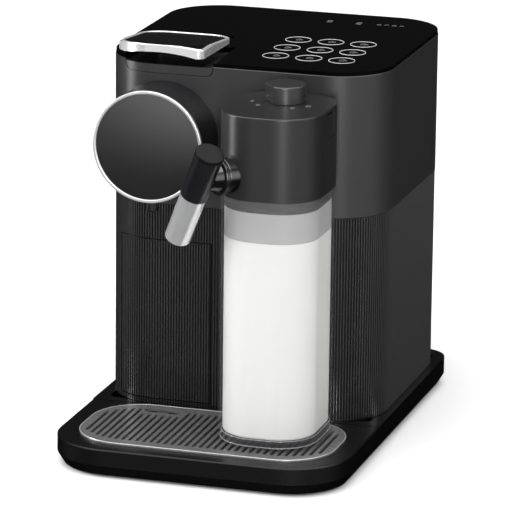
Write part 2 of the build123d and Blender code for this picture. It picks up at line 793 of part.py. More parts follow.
supply_end = pump_y + flow_radius
with BuildPart() as supply_hose:
    with BuildSketch(Plane.XZ.offset(-supply_end)):
        with Locations((0, pipe_z)):
            Circle(hose_radius)
            Circle(hose_radius - 1.2, mode=Mode.SUBTRACT)
    extrude(amount=-(valve_y - elbow_radius - supply_end))
finish(supply_hose, "supply_hose")

hose_start = flow_radius
hose_end = pump_x - stub_radius
with BuildPart() as pump_hose:
    with BuildSketch(Plane.YZ.offset(hose_start)):
        with Locations((pump_y, pipe_z)):
            Circle(hose_radius)
            Circle(hose_radius - 1.2, mode=Mode.SUBTRACT)
    extrude(amount=hose_end - hose_start)
finish(pump_hose, "pump_hose")

with BuildPart() as heater:
    with BuildSketch(Plane.XY.offset(heater_bottom)):
        with Locations((pump_x, pump_y - 20.0)):
            RectangleRounded(62.0, 66.0, 8.0)
    extrude(amount=heater_height)
    for level in range(4):
        with BuildSketch(Plane.XY.offset(heater_bottom + 7.0 + level * 8.0)):
            with Locations((pump_x, pump_y - 20.0)):
                RectangleRounded(64.0, 68.0, 8.0)
                RectangleRounded(58.0, 62.0, 7.0, mode=Mode.SUBTRACT)
        extrude(amount=3.0, mode=Mode.SUBTRACT)
finish(heater, "heater")

nozzle_length = 22.0
nozzle_front = body_front - 0.2
steam_turn = 18.0
steam_y = pump_y - 40.0
with BuildPart() as steam_nozzle:
    with BuildSketch(Plane.XZ.offset(-nozzle_front)):
        with Locations((port_x, port_z)):
            Circle(port_flange_radius)
            Circle(2.5, mode=Mode.SUBTRACT)
    extrude(amount=-(hood_wall + 2.0))
    with BuildSketch(Plane.XZ.offset(-(nozzle_front + hood_wall + 2.0))):
        with Locations((port_x, port_z)):
            Circle(7.0)
            Circle(2.5, mode=Mode.SUBTRACT)
    extrude(amount=-(nozzle_length - hood_wall - 2.0))
finish(steam_nozzle, "steam_nozzle")

with BuildPart() as steam_pipe:
    with BuildLine():
        FilletPolyline(
            (port_x, steam_y, heater_bottom + heater_height),
            (port_x, steam_y, port_z),
            (port_x, nozzle_front + nozzle_length, port_z),
            radius=steam_turn,
        )
    with BuildSketch(Plane.XY.offset(heater_bottom + heater_height)):
        with Locations((port_x, steam_y)):
            Circle(3.0)
            Circle(2.0, mode=Mode.SUBTRACT)
    sweep()
finish(steam_pipe, "steam_pipe")

board_thickness = 1.6
with BuildPart() as control_board:
    board_x = wall_x + frame_thickness
    with BuildSketch(Plane.YZ.offset(board_x)):
        with Locations((24.0, 76.0)):
            Rectangle(70.0, 76.0)
    extrude(amount=board_thickness)
    with BuildSketch(Plane.YZ.offset(board_x + board_thickness)):
        with Locations((6.0, 96.0), (30.0, 96.0)):
            Rectangle(18.0, 14.0)
        with Locations((8.0, 60.0)):
            Rectangle(22.0, 26.0)
        with Locations((40.0, 62.0), (52.0, 62.0)):
            Circle(4.5)
    extrude(amount=13.0)
finish(control_board, "control_board")

button_x = 37.5
button_y = body_front + 64.0
button_pitch_x = 23.0
button_pitch_y = 27.0
touch_gap = 2.0
with BuildPart() as touch_board:
    with BuildSketch(Plane.XY.offset(hood_top - touch_gap - board_thickness)):
        with Locations((button_x, button_y + 18.0)):
            Rectangle(76.0, 134.0)
    extrude(amount=board_thickness)
    with BuildSketch(Plane.XY.offset(hood_top - touch_gap)):
        with Locations((button_x, button_y)):
            with GridLocations(button_pitch_x, button_pitch_y, 3, 3):
                Circle(6.0)
    extrude(amount=touch_gap)
finish(touch_board, "touch_board")

cord_radius = 3.0
inlet_flange = 1.4
with BuildPart() as power_inlet:
    with BuildSketch(Plane.XZ.offset(-base_rear)):
        with Locations((inlet_x, inlet_z)):
            Circle(inlet_radius)
    extrude(amount=plinth_wall + 3.0)
    with BuildSketch(Plane.XZ.offset(-base_rear)):
        with Locations((inlet_x, inlet_z)):
            Circle(inlet_radius + inlet_flange)
    extrude(amount=-3.0)
    with BuildSketch(Plane.XZ.offset(-base_rear - 3.0)):
        with Locations((inlet_x, inlet_z)):
            Circle(cord_radius)
    extrude(amount=plinth_wall + 6.0, mode=Mode.SUBTRACT)
finish(power_inlet, "power_inlet")

# ---- Water tank with its lid, hinge pin, valve and the coupling it sits on ----------------------
tank_bottom = shelf_top + 2.0
tank_top = tank_bottom + tank_height
half_tank = tank_width / 2
lid_thickness = 6.0
hinge_radius = 3.0
hinge_pin_radius = 1.5
hinge_y = tank_rear - 4.0
hinge_z = tank_top + hinge_radius + 0.4
hinge_half = 20.0
lug_width = 6.0


def tank_outline(inset):
    return footprint(half_tank - inset, tank_front + inset, tank_rear - inset,
                     10.0 - inset, tank_radius - inset)


with BuildPart() as water_tank:
    with BuildSketch(Plane.XY.offset(shelf_top)):
        add(tank_outline(1.5))
        add(tank_outline(1.5 + tank_wall), mode=Mode.SUBTRACT)
    extrude(amount=tank_bottom - shelf_top)
    with BuildSketch(Plane.XY.offset(tank_bottom)):
        add(tank_outline(0.0))
    extrude(amount=tank_height)
    with BuildSketch(Plane.XY.offset(tank_bottom + tank_wall)):
        add(tank_outline(tank_wall))
    extrude(amount=tank_height, mode=Mode.SUBTRACT)
    with BuildSketch(Plane.XY.offset(tank_bottom)):
        with Locations((0, valve_y)):
            Circle(valve_radius + running_fit)
    extrude(amount=tank_wall, mode=Mode.SUBTRACT)
    for side in (-1, 1):
        lug_x = side * (hinge_half + seam + lug_width / 2)
        with BuildSketch(Plane.YZ.offset(lug_x - lug_width / 2)):
            with Locations((hinge_y, hinge_z)):
                Circle(hinge_radius)
            with Locations((hinge_y, (tank_top - 8.0 + hinge_z) / 2)):
                Rectangle(2 * hinge_radius, hinge_z - tank_top + 8.0)
            with Locations((hinge_y, hinge_z)):
                Circle(hinge_pin_radius, mode=Mode.SUBTRACT)
        extrude(amount=lug_width)
finish(water_tank, "water_tank")

with BuildPart() as tank_lid:
    with BuildSketch(Plane.XY.offset(tank_top + seam)):
        add(footprint(half_tank, tank_front, hinge_y, 10.0, tank_radius - 6.0))
    extrude(amount=lid_thickness)
    with BuildSketch(Plane.XY.offset(tank_top + seam)):
        for side in (-1, 1):
            with Locations((side * (hinge_half + seam + lug_width / 2), hinge_y)):
                Rectangle(lug_width + 2 * seam, 4 * hinge_radius)
    extrude(amount=lid_thickness, mode=Mode.SUBTRACT)
    with BuildSketch(Plane.XY.offset(tank_top + seam + 2.0)):
        with Locations((0, tank_front + 17.0)):
            SlotOverall(46.0, 16.0)
    extrude(amount=lid_thickness, mode=Mode.SUBTRACT)
    with BuildSketch(Plane.YZ.offset(-hinge_half)):
        with Locations((hinge_y, hinge_z)):
            Circle(hinge_radius)
    extrude(amount=2 * hinge_half)
    with BuildSketch(Plane.YZ.offset(-hinge_half)):
        with Locations((hinge_y, hinge_z)):
            Circle(hinge_pin_radius + running_fit)
    extrude(amount=2 * hinge_half, mode=Mode.SUBTRACT)
finish(tank_lid, "tank_lid")

with BuildPart() as tank_lid_pin:
    with BuildSketch(Plane.YZ.offset(-hinge_half - seam - lug_width)):
        with Locations((hinge_y, hinge_z)):
            Circle(hinge_pin_radius)
    extrude(amount=2 * (hinge_half + seam + lug_width))
finish(tank_lid_pin, "tank_lid_pin")

with BuildPart() as tank_valve:
    with BuildSketch(Plane.XY.offset(tank_bottom)):
        with Locations((0, valve_y)):
            Circle(valve_radius)
            Circle(2.5, mode=Mode.SUBTRACT)
    extrude(amount=tank_wall + 9.0)
    with BuildSketch(Plane.XY.offset(tank_bottom + tank_wall)):
        with Locations((0, valve_y)):
            Circle(valve_radius + 3.0)
            Circle(2.5, mode=Mode.SUBTRACT)
    extrude(amount=2.0)
finish(tank_valve, "tank_valve")

with BuildPart() as tank_coupling:
    with BuildSketch(Plane.XY.offset(shelf_top - coupling_recess)):
        with Locations((0, valve_y)):
            Circle(coupling_radius)
    extrude(amount=tank_bottom - seam - shelf_top + coupling_recess)
    with BuildSketch(Plane.XY.offset(shelf_top)):
        with Locations((0, valve_y)):
            Circle(valve_radius)
    extrude(amount=4.0, mode=Mode.SUBTRACT)
    with BuildSketch(Plane.XY.offset(pipe_z - elbow_radius)):
        with Locations((0, valve_y)):
            Circle(elbow_radius)
    extrude(amount=shelf_top - coupling_recess - pipe_z + elbow_radius)
    with BuildSketch(Plane.XY.offset(pipe_z - 2.0)):
        with Locations((0, valve_y)):
            Circle(2.5)
    extrude(amount=shelf_top, mode=Mode.SUBTRACT)
finish(tank_coupling, "tank_coupling")

# ---- Milk jug: clear container, lid with seal, suction tube, froth knob and release buttons -----
jug_back = body_front - slide_gap
jug_front = jug_back - jug_depth
half_jug = jug_width / 2
lid_bottom = jug_split + seam
button_half_y = 10.0
button_half_z = 8.0
button_mid_z = jug_top - 11.5
button_mid_y = (jug_front + jug_back) / 2
button_plate = 2.0
button_seam = 0.2
button_slot = 1.2
suction_y = jug_back - 17.0
suction_radius = 3.0
knob_y = jug_back - 28.0
knob_radius = 14.0
knob_height = 11.4
knob_stem_radius = 5.0


def jug_outline(inset):
    return footprint(half_jug - inset, jug_front + inset, jug_back - inset,
                     jug_radius - inset, jug_radius - inset, centre=jug_x)


with BuildPart() as jug_container:
    with BuildSketch(Plane.XY.offset(jug_bottom)):
        add(jug_outline(0.0))
    extrude(amount=jug_split - jug_bottom)
    fillet(jug_container.faces().sort_by(Axis.Z)[0].edges(), 1.6)
    with BuildSketch(Plane.XY.offset(jug_bottom + jug_floor)):
        add(jug_outline(jug_wall))
    extrude(amount=jug_split, mode=Mode.SUBTRACT)
finish(jug_container, "jug_container")

# The milk spout turns about a level axis that leaves the lid at its front left corner.
spout_bearing = 230.0
spout_z = 205.0
spout_reach = 21.0
spout_tilt = 31.0
collar_radius = 12.0
collar_length = 5.0
ring_radius = 12.8
ring_length = 3.4
spout_shaft_radius = 6.0
knuckle_radius = 10.2
barrel_radius = 9.5
spout_tube_radius = 8.8
spout_bore = 5.5
cap_length = 2.6
barrel_above = 20.5
barrel_below = 13.5
spout_end = 52.5

swivel_dir = Vector(cos(radians(spout_bearing)), sin(radians(spout_bearing)), 0)
side_dir = Vector(-sin(radians(spout_bearing)), cos(radians(spout_bearing)), 0)
pipe_dir = Vector(0, 0, 1) * cos(radians(spout_tilt)) + side_dir * sin(radians(spout_tilt))
corner_axis = Vector(jug_x - half_jug + jug_radius, jug_front + jug_radius, spout_z)
swivel_foot = corner_axis + swivel_dir * jug_radius
barrel_centre = swivel_foot + swivel_dir * spout_reach
swivel_plane = Plane(origin=swivel_foot, x_dir=side_dir, z_dir=swivel_dir)
pipe_plane = Plane(origin=barrel_centre, x_dir=swivel_dir, z_dir=pipe_dir)

skirt_inset = jug_wall + 1.2
skirt_wall = 2.0
with BuildPart() as jug_lid:
    with BuildSketch(Plane.XY.offset(lid_bottom)):
        add(jug_outline(0.0))
    extrude(amount=jug_top - lid_bottom)
    fillet(jug_lid.faces().sort_by(Axis.Z)[-1].edges(), 1.0)
    with BuildSketch(Plane.XY.offset(lid_bottom + lid_wall)):
        add(jug_outline(lid_wall))
    extrude(amount=jug_top - lid_bottom - 2 * lid_wall, mode=Mode.SUBTRACT)
    with BuildSketch(Plane.XY.offset(lid_bottom)):
        add(jug_outline(skirt_inset))
        add(jug_outline(skirt_inset + skirt_wall), mode=Mode.SUBTRACT)
    extrude(amount=-lid_skirt)
    with BuildSketch(Plane.XY.offset(lid_bottom)):
        with Locations((jug_x, suction_y)):
            Circle(suction_radius)
        with Locations((jug_x - 16.0, suction_y)):
            Circle(2.0)
    extrude(amount=lid_wall, mode=Mode.SUBTRACT)
    with BuildSketch(Plane.XY.offset(jug_top)):
        with Locations((jug_x, knob_y)):
            Circle(knob_stem_radius + running_fit)
    extrude(amount=-lid_wall, mode=Mode.SUBTRACT)
    with BuildSketch(Plane.XZ.offset(-jug_back - 1.0)):
        with Locations((port_x, port_z)):
            Circle(2.5)
    extrude(amount=lid_wall + 2.0, mode=Mode.SUBTRACT)
    with BuildSketch(Plane.YZ.offset(jug_x - half_jug - 1.0)):
        with Locations((button_mid_y, button_mid_z + (button_slot - button_seam) / 2)):
            Rectangle(2 * (button_half_y + button_seam), 2 * button_half_z + button_slot + button_seam)
    extrude(amount=jug_width + 2.0, mode=Mode.SUBTRACT)
    with BuildSketch(swivel_plane.offset(-lid_wall - 2.0)):
        Circle(3.0)
    extrude(amount=lid_wall + 4.0, mode=Mode.SUBTRACT)
finish(jug_lid, "jug_lid")

with BuildPart() as lid_seal:
    with BuildSketch(Plane.XY.offset(lid_bottom - 6.0)):
        add(jug_outline(jug_wall + seam))
        add(jug_outline(skirt_inset), mode=Mode.SUBTRACT)
    extrude(amount=2.4)
finish(lid_seal, "lid_seal")

with BuildPart() as suction_tube:
    with BuildSketch(Plane.XY.offset(jug_bottom + jug_floor + 5.0)):
        with Locations((jug_x, suction_y)):
            Circle(suction_radius)
            Circle(suction_radius - 0.9, mode=Mode.SUBTRACT)
    extrude(amount=lid_bottom + 24.0 - jug_bottom - jug_floor - 5.0)
finish(suction_tube, "suction_tube")

knob_flat = 0.82
knob_turn = 37.0
flat_middle = knob_radius * (1 + knob_flat) / 2
with BuildPart() as froth_knob:
    with BuildSketch(Plane.XY.offset(jug_top + seam)):
        with Locations((jug_x, knob_y)):
            Circle(knob_radius)
            with Locations((-flat_middle * cos(radians(knob_turn)), -flat_middle * sin(radians(knob_turn)))):
                Rectangle(knob_radius * (1 - knob_flat) + 0.2, 2 * knob_radius, rotation=knob_turn,
                          mode=Mode.SUBTRACT)
    extrude(amount=knob_height)
    fillet(froth_knob.faces().sort_by(Axis.Z)[-1].edges(), 0.9)
    with BuildSketch(Plane.XY.offset(jug_top + seam)):
        with Locations((jug_x, knob_y)):
            Circle(knob_stem_radius)
    extrude(amount=-(lid_wall + 7.0))
finish(froth_knob, "froth_knob")

button_post_gap = 9.0
for side, name in ((-1, "release_button_left"), (1, "release_button_right")):
    face_x = jug_x + side * (half_jug - 0.3)
    with BuildPart() as release_button:
        with BuildSketch(Plane.YZ.offset(face_x)):
            with Locations((button_mid_y, button_mid_z)):
                RectangleRounded(2 * button_half_y, 2 * button_half_z, 2.0)
        extrude(amount=-side * button_plate)
        with BuildSketch(Plane.YZ.offset(face_x - side * button_plate)):
            with Locations((button_mid_y, button_mid_z)):
                Rectangle(6.0, 6.0)
        extrude(amount=-side * button_post_gap)
    finish(release_button, name)

# ---- Milk spout: fixed collar and ring, then the knuckle, barrel, pipe and cap that swing -------
bore_radius = spout_shaft_radius + running_fit
with BuildPart() as spout_collar:
    with BuildSketch(swivel_plane.offset(-4.0)):
        Circle(collar_radius)
    extrude(amount=4.0 + collar_length)
    fillet(spout_collar.faces().sort_by(Axis(swivel_foot, swivel_dir))[-1].edges(), 1.0)
    with BuildSketch(swivel_plane.offset(-4.0)):
        Circle(bore_radius)
    extrude(amount=4.0 + collar_length, mode=Mode.SUBTRACT)
    with BuildSketch(Plane.XY.offset(lid_bottom)):
        add(jug_outline(0.0))
    extrude(amount=jug_top - lid_bottom, mode=Mode.SUBTRACT)
finish(spout_collar, "spout_collar")

with BuildPart() as spout_ring:
    with BuildSketch(swivel_plane.offset(collar_length)):
        Circle(ring_radius)
    extrude(amount=ring_length)
    fillet(spout_ring.edges(), 0.8)
    with BuildSketch(swivel_plane.offset(collar_length)):
        Circle(bore_radius)
    extrude(amount=ring_length, mode=Mode.SUBTRACT)
finish(spout_ring, "spout_ring")

knuckle_start = collar_length + ring_length + seam
with BuildPart() as spout_knuckle:
    with BuildSketch(swivel_plane.offset(knuckle_start)):
        Circle(knuckle_radius)
    with BuildSketch(swivel_plane.offset(spout_reach)):
        Circle(knuckle_radius - 2.4)
    loft()
    with BuildSketch(swivel_plane.offset(0.4)):
        Circle(spout_shaft_radius)
    extrude(amount=knuckle_start)
    with BuildSketch(pipe_plane.offset(-barrel_below - 10.0)):
        Circle(barrel_radius)
    extrude(amount=barrel_above + barrel_below + 20.0, mode=Mode.SUBTRACT)
    with BuildSketch(swivel_plane):
        Circle(2.5)
    extrude(amount=spout_reach, mode=Mode.SUBTRACT)
finish(spout_knuckle, "spout_knuckle")

with BuildPart() as spout_barrel:
    with BuildSketch(pipe_plane.offset(-barrel_below)):
        Circle(barrel_radius)
        Circle(spout_bore, mode=Mode.SUBTRACT)
    extrude(amount=barrel_above + barrel_below)
    with BuildSketch(swivel_plane.offset(spout_reach - barrel_radius - 2.0)):
        Circle(2.5)
    extrude(amount=barrel_radius, mode=Mode.SUBTRACT)
finish(spout_barrel, "spout_barrel")

with BuildPart() as spout_pipe:
    with BuildSketch(pipe_plane.offset(-spout_end)):
        Circle(spout_tube_radius)
        Circle(spout_bore, mode=Mode.SUBTRACT)
    extrude(amount=spout_end - barrel_below)
    fillet(spout_pipe.faces().sort_by(Axis(barrel_centre, pipe_dir))[0].outer_wire().edges(), 0.8)
finish(spout_pipe, "spout_pipe")

with BuildPart() as spout_cap:
    with BuildSketch(pipe_plane.offset(barrel_above)):
        Circle(barrel_radius + 0.2)
    extrude(amount=cap_length)
    fillet(spout_cap.faces().sort_by(Axis(barrel_centre, pipe_dir))[-1].edges(), 0.8)
    with BuildSketch(pipe_plane.offset(barrel_above)):
        Circle(spout_bore - running_fit)
        Circle(spout_bore - 1.5, mode=Mode.SUBTRACT)
    extrude(amount=-4.0)
finish(spout_cap, "spout_cap")
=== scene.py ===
"""Looks of the pod coffee machine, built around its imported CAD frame. Metres, same frame as the CAD."""
from math import cos, pi, radians, sin

import bmesh
import bpy
from mathutils import Matrix, Vector
from mathutils.bvhtree import BVHTree


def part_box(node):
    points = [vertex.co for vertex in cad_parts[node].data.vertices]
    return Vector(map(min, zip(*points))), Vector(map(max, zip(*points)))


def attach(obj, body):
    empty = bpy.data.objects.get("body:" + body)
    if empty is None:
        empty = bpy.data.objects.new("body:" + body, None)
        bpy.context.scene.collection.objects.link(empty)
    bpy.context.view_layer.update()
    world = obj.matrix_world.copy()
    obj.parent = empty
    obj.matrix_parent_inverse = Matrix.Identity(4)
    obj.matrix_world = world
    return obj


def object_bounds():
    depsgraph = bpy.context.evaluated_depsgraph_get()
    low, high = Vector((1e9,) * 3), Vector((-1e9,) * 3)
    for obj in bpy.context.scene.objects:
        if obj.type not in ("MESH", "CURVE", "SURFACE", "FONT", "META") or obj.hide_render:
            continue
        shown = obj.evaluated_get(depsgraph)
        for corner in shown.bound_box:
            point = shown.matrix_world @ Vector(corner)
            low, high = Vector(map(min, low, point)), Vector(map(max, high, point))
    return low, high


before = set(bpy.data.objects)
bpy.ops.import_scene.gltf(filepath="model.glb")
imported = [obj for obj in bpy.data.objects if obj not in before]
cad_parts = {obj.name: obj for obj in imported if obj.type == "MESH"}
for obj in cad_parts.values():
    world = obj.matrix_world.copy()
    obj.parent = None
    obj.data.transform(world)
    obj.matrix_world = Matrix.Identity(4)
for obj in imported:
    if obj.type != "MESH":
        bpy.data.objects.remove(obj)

cad_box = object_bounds()
scene = bpy.context.scene
MM = 0.001


# ---- Materials ----------------------------------------------------------------------------------
DRIFT_SCALE = 22.0
GRAIN_DEPTH = 0.2 * MM


def surface(name, colour, rough, spread=0.05, grain=1400.0, bump=0.05, tone=0.12, metallic=0.0,
            stretch=(1.0, 1.0, 1.0), specular=0.5):
    """A procedural finish: a slow drift of tone, and a fine grain in the roughness and the bump."""
    material = bpy.data.materials.new(name)
    material.use_nodes = True
    nodes, links = material.node_tree.nodes, material.node_tree.links
    shader = nodes["Principled BSDF"]
    shader.inputs["Metallic"].default_value = metallic
    shader.inputs["Specular IOR Level"].default_value = specular
    place = nodes.new("ShaderNodeTexCoord")
    mapping = nodes.new("ShaderNodeMapping")
    mapping.inputs["Scale"].default_value = stretch
    links.new(place.outputs["Object"], mapping.inputs["Vector"])
    slow, fine = nodes.new("ShaderNodeTexNoise"), nodes.new("ShaderNodeTexNoise")
    for texture, scale, detail in ((slow, DRIFT_SCALE, 2.0), (fine, grain, 3.0)):
        texture.inputs["Scale"].default_value = scale
        texture.inputs["Detail"].default_value = detail
        links.new(mapping.outputs["Vector"], texture.inputs["Vector"])
    mix = nodes.new("ShaderNodeMix")
    mix.data_type = "RGBA"
    mix.inputs[6].default_value = [c * (1 - tone) for c in colour] + [1.0]
    mix.inputs[7].default_value = [min(c * (1 + tone), 1.0) for c in colour] + [1.0]
    links.new(slow.outputs["Fac"], mix.inputs["Factor"])
    links.new(mix.outputs[2], shader.inputs["Base Color"])
    remap = nodes.new("ShaderNodeMapRange")
    for socket, value in (("From Min", 0.3), ("From Max", 0.7),
                          ("To Min", max(rough - spread, 0.01)), ("To Max", min(rough + spread, 1.0))):
        remap.inputs[socket].default_value = value
    links.new(fine.outputs["Fac"], remap.inputs["Value"])
    links.new(remap.outputs["Result"], shader.inputs["Roughness"])
    relief = nodes.new("ShaderNodeBump")
    relief.inputs["Strength"].default_value = bump
    relief.inputs["Distance"].default_value = GRAIN_DEPTH
    links.new(fine.outputs["Fac"], relief.inputs["Height"])
    links.new(relief.outputs["Normal"], shader.inputs["Normal"])
    return material


def clear(name, colour, rough, veil):
    """A clear moulded plastic: veil is how much of what lies behind it the haze hides."""
    material = surface(name, colour, rough, spread=0.03, grain=300.0, bump=0.01, tone=0.02)
    material.node_tree.nodes["Principled BSDF"].inputs["Alpha"].default_value = veil
    return material


body_grey = surface("body_grey", (0.019, 0.019, 0.0195), 0.34, bump=0.02, tone=0.06)
# The lower shell, rear cover and capsule bin: the ribs' dark plastic painted darker, partly its own dark
# grey and partly painted shade, seen most in the grooves between the ribs.
shell_grey_painted_shade = surface("shell_grey_painted_shade", (0.0035, 0.0035, 0.004), 0.34, specular=0.2, bump=0.02, tone=0.08)
rib_grey = surface("rib_grey", (0.012, 0.012, 0.013), 0.20, specular=1.0, bump=0.01, tone=0.06)
base_black = surface("base_black", (0.0020, 0.0020, 0.0023), 0.30, bump=0.02, specular=0.25)
gloss_black = surface("gloss_black", (0.0012, 0.0012, 0.0014), 0.09, spread=0.02, bump=0.004, specular=0.03)
lever_gloss = surface("lever_gloss", (0.002, 0.002, 0.0022), 0.10, spread=0.03, bump=0.006, specular=0.2)
well_black = surface("well_black", (0.012, 0.012, 0.013), 0.30)
head_black = surface("head_black", (0.006, 0.006, 0.007), 0.30, specular=0.4)
disc_satin = surface("disc_satin", (0.115, 0.115, 0.118), 0.11, spread=0.02, bump=0.004, tone=0.03,
                     metallic=0.92)
lid_grey = surface("lid_grey", (0.012, 0.012, 0.013), 0.32, spread=0.01, grain=300.0, bump=0.004,
                   tone=0.05)
knob_grey = surface("knob_grey", (0.020, 0.020, 0.021), 0.30, specular=0.7, bump=0.02)
spout_black = surface("spout_black", (0.006, 0.006, 0.007), 0.20, spread=0.02, bump=0.01, specular=0.9)
cap_black = surface("cap_black", (0.004, 0.004, 0.0045), 0.30, spread=0.03, bump=0.01, specular=0.08)
lever_chrome = surface("lever_chrome", (0.88, 0.88, 0.89), 0.20, spread=0.02, bump=0.002, tone=0.03,
                       metallic=0.70)
pipe_steel = surface("pipe_steel", (0.78, 0.78, 0.79), 0.17, spread=0.03, grain=160.0, bump=0.0, tone=0.05,
                     metallic=0.76)
brushed = surface("brushed", (0.62, 0.62, 0.63), 0.24, spread=0.08, grain=700.0, bump=0.06, tone=0.06,
                  metallic=1.0, stretch=(6.0, 6.0, 0.3))
grid_steel = surface("grid_steel", (0.17, 0.17, 0.173), 0.30, spread=0.06, grain=500.0, bump=0.03,
                     tone=0.08, metallic=0.45, stretch=(0.4, 5.0, 1.0))
ring_satin = surface("ring_satin", (0.72, 0.72, 0.73), 0.34, spread=0.05, bump=0.01, tone=0.03, metallic=0.8)
joint_chrome = surface("joint_chrome", (0.10, 0.10, 0.102), 0.20, spread=0.05, bump=0.02, tone=0.05,
                       metallic=1.0)
rubber = surface("rubber", (0.012, 0.012, 0.012), 0.75, grain=900.0, bump=0.15)
fixing = surface("fixing", (0.45, 0.45, 0.46), 0.35, metallic=1.0)
float_grey = surface("float_grey", (0.05, 0.05, 0.052), 0.4)
rack_black = surface("rack_black", (0.014, 0.014, 0.015), 0.45)
frame_grey = surface("frame_grey", (0.28, 0.28, 0.27), 0.55)
inner_white = surface("inner_white", (0.60, 0.60, 0.58), 0.45)
pump_bronze = surface("pump_bronze", (0.20, 0.17, 0.11), 0.42, metallic=0.4)
hose_clear = surface("hose_clear", (0.55, 0.53, 0.48), 0.40)
cast_alloy = surface("cast_alloy", (0.52, 0.52, 0.53), 0.48, grain=600.0, bump=0.2, metallic=1.0)
board_green = surface("board_green", (0.015, 0.11, 0.045), 0.45, grain=800.0, bump=0.08)
seal_grey = surface("seal_grey", (0.022, 0.022, 0.023), 0.6)
tube_white = surface("tube_white", (0.62, 0.62, 0.60), 0.35)
mark_grey = surface("mark_grey", (0.50, 0.50, 0.51), 0.45)
mark_faint = surface("mark_faint", (0.16, 0.16, 0.165), 0.5)
milk_white = surface("milk_white", (0.60, 0.60, 0.59), 0.35, grain=200.0, bump=0.01, tone=0.01)
milk_shader = milk_white.node_tree.nodes["Principled BSDF"]
milk_shader.inputs["Subsurface Weight"].default_value = 0.3
milk_shader.inputs["Subsurface Radius"].default_value = (0.004, 0.004, 0.004)
film_white = clear("film_white", (0.46, 0.46, 0.46), 0.4, 0.55)
film_thin = clear("film_thin", (0.08, 0.08, 0.08), 0.4, 0.50)
# Painted highlight: a grey see-through colour for the lines of light along the edges of the jug's clear
# foot.
glass_highlight_paint = clear("glass_highlight_paint", (0.30, 0.30, 0.31), 0.15, 0.55)
# Painted highlight: a bright steel colour on the bead round the grid's rim, for the thin line of light along
# its edge.
grid_highlight_paint = surface("grid_highlight_paint", (0.62, 0.62, 0.63), 0.25, spread=0.03, bump=0.002, tone=0.03, metallic=0.5)
jug_clear = clear("jug_clear", (0.22, 0.22, 0.225), 0.10, 0.08)
tank_clear = clear("tank_clear", (0.10, 0.11, 0.12), 0.08, 0.45)

finishes = (
    (body_grey, "hood front_insert"),
    (shell_grey_painted_shade, "lower_shell rear_cover capsule_bin"),
    (base_black, "base_plate drip_tray tank_coupling"),
    (gloss_black, "top_panel"),
    (lever_gloss, "capsule_lever"),
    (well_black, "capsule_chute"),
    (head_black, "coffee_head coffee_outlet"),
    (disc_satin, "disc_face"),
    (lid_grey, "jug_lid release_button_left release_button_right tank_lid"),
    (knob_grey, "froth_knob"),
    (spout_black, "spout_ring spout_barrel"),
    (cap_black, "spout_cap"),
    (lever_chrome, "lever_trim"),
    (pipe_steel, "spout_pipe"),
    (ring_satin, "disc_ring"),
    (joint_chrome, "spout_collar spout_knuckle"),
    (brushed, "steam_nozzle"),
    (grid_steel, "drip_grid"),
    (rubber, "rubber_feet pump_mounts power_inlet"),
    (fixing, "base_screws lever_pin tank_lid_pin"),
    (float_grey, "tray_float"),
    (rack_black, "capsule_rack"),
    (frame_grey, "inner_frame brew_frame brew_cage"),
    (inner_white, "brew_piston flow_meter tank_valve"),
    (pump_bronze, "pump"),
    (hose_clear, "pressure_pipe supply_hose pump_hose steam_pipe"),
    (cast_alloy, "heater"),
    (board_green, "control_board touch_board"),
    (seal_grey, "lid_seal"),
    (tube_white, "suction_tube"),
    (jug_clear, "jug_container"),
    (tank_clear, "water_tank"),
)
for material, names in finishes:
    for name in names.split():
        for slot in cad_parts[name].material_slots:
            slot.material = material


# ---- Mesh helpers -------------------------------------------------------------------------------
def piece(name, mesh, material, body):
    """Put a finished mesh or curve in the scene as a piece that rides on a body."""
    item = bpy.data.objects.new(name, mesh)
    scene.collection.objects.link(item)
    mesh.materials.append(material)
    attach(item, body)
    return item


def walk_outline(low, high, radii, step):
    """Points and outward normals round a rounded rectangle, about one step apart.

    radii are those of the front left, front right, rear right and rear left corners.
    """
    corners = (
        (low[0] + radii[0], low[1] + radii[0], pi, radii[0]),
        (high[0] - radii[1], low[1] + radii[1], 1.5 * pi, radii[1]),
        (high[0] - radii[2], high[1] - radii[2], 0.0, radii[2]),
        (low[0] + radii[3], high[1] - radii[3], 0.5 * pi, radii[3]),
    )
    path = []
    for index, (x, y, start, radius) in enumerate(corners):
        turns = max(round(radius * pi / 2 / step), 1)
        for turn in range(turns):
            angle = start + pi / 2 * turn / turns
            path.append((x + radius * cos(angle), y + radius * sin(angle), angle))
        nx, ny, _, next_radius = corners[(index + 1) % 4]
        angle = start + pi / 2
        first = Vector((x + radius * cos(angle), y + radius * sin(angle)))
        last = Vector((nx + next_radius * cos(angle), ny + next_radius * sin(angle)))
        count = max(round((last - first).length / step), 1)
        for part in range(count):
            spot = first.lerp(last, part / count)
            path.append((spot.x, spot.y, angle))
    return path


def finished(build, name):
    """The mesh of a closed build, with its normals outwards."""
    bmesh.ops.recalc_face_normals(build, faces=build.faces)
    mesh = bpy.data.meshes.new(name)
    build.to_mesh(mesh)
    build.free()
    return mesh


def join_rings(build, lower, upper):
    """Side faces between two rings of the same number of corners."""
    for side in range(len(lower)):
        after = (side + 1) % len(lower)
        build.faces.new((lower[side], lower[after], upper[after], upper[side]))


def ribs_mesh(name, spots, width, height):
    """Upright half-round ribs. Each spot is (x, y, angle of the outward normal, bottom z, top z)."""
    half_profile = ((width / 2, -0.1 * MM), (width * 0.42, height * 0.55), (width * 0.2, height * 0.93))
    profile = [(-s, h) for s, h in half_profile] + list(reversed(half_profile))
    build = bmesh.new()
    for x, y, angle, bottom, top in spots:
        out = Vector((cos(angle), sin(angle), 0))
        along = Vector((-sin(angle), cos(angle), 0))
        lower, upper = [[build.verts.new(Vector((x, y, z)) + along * s + out * h) for s, h in profile]
                        for z in (bottom, top)]
        join_rings(build, lower, upper)
        build.faces.new(lower[::-1])
        build.faces.new(upper)
    return finished(build, name)


